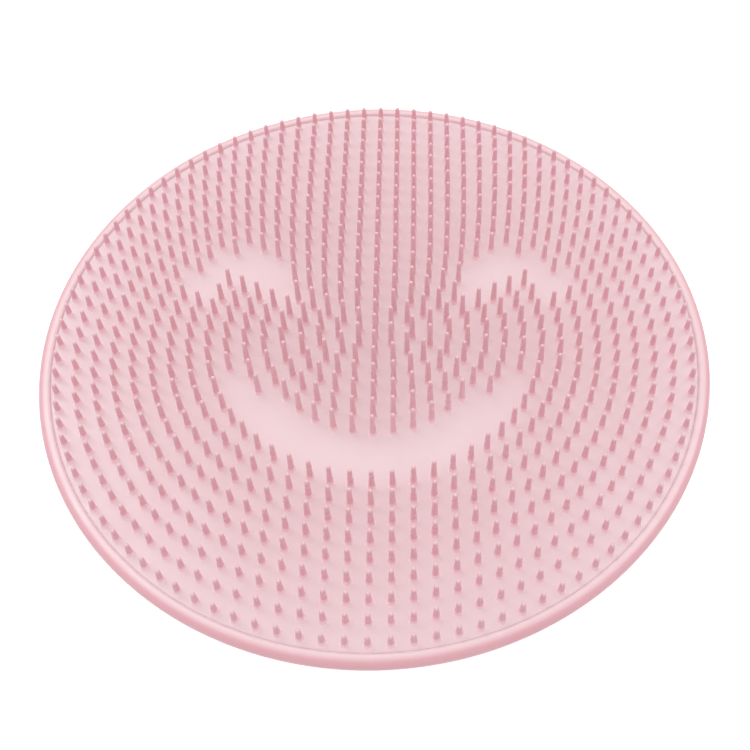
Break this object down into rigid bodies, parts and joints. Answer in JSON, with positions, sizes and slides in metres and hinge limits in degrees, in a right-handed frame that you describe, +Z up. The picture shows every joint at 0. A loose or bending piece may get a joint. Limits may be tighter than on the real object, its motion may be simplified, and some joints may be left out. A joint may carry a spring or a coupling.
{
  "type": "facial cleansing brush",
  "caption": "Round silicone face scrubbing pad with a field of fine soft bristles on one side and a suction cup on a short grip neck with a pull tab on the other.",
  "frame": {"origin": "centre of the suction cup's rest plane, under the middle of the disc", "axes": "+Z up from the suction cup to the bristles; -Y towards the user, the side of the mouth of the bare smile; the pad is a mirror image about the YZ plane"},
  "size_m": [0.08, 0.08, 0.0246],
  "materials": {
    "shell_silicone": "satin",
    "face_silicone": "matte",
    "bristle_silicone": "satin",
    "cup_silicone": "satin"
  },
  "bodies": {
    "pad": {"back_shell": "shell_silicone", "face_sheet": "face_silicone", "neck": "shell_silicone", "bristle_centre": "bristle_silicone", "bristle_ring_01": "bristle_silicone", "bristle_ring_02": "bristle_silicone", "bristle_ring_03": "bristle_silicone", "bristle_ring_04": "bristle_silicone", "bristle_ring_05": "bristle_silicone", "bristle_ring_06": "bristle_silicone", "bristle_ring_07": "bristle_silicone", "bristle_ring_08": "bristle_silicone", "bristle_ring_09": "bristle_silicone", "bristle_ring_10": "bristle_silicone", "bristle_ring_11": "bristle_silicone", "bristle_ring_12": "bristle_silicone", "bristle_ring_13": "bristle_silicone", "bristle_ring_14": "bristle_silicone", "bristle_ring_15": "bristle_silicone", "bristle_ring_16": "bristle_silicone", "bristle_ring_17": "bristle_silicone"},
    "cup": {"cup_lip": "cup_silicone", "cup_bell": "cup_silicone"},
    "tab": {"pull_tab": "cup_silicone"}
  },
  "joints": [
    {"name": "cup_press", "type": "slide", "parent": "pad", "child": "cup", "axis": [0, 0, 1], "range_m": [0, 0.004], "stiffness_N_per_m": 4000, "deforming": ["cup_bell"]},
    {"name": "tab_bend", "type": "hinge", "parent": "cup", "child": "tab", "pos_m": [0, -0.0214, 0.00065], "axis": [-1, 0, 0], "range_deg": [0, 70], "stiffness_Nm_per_rad": 0.004}
  ]
}
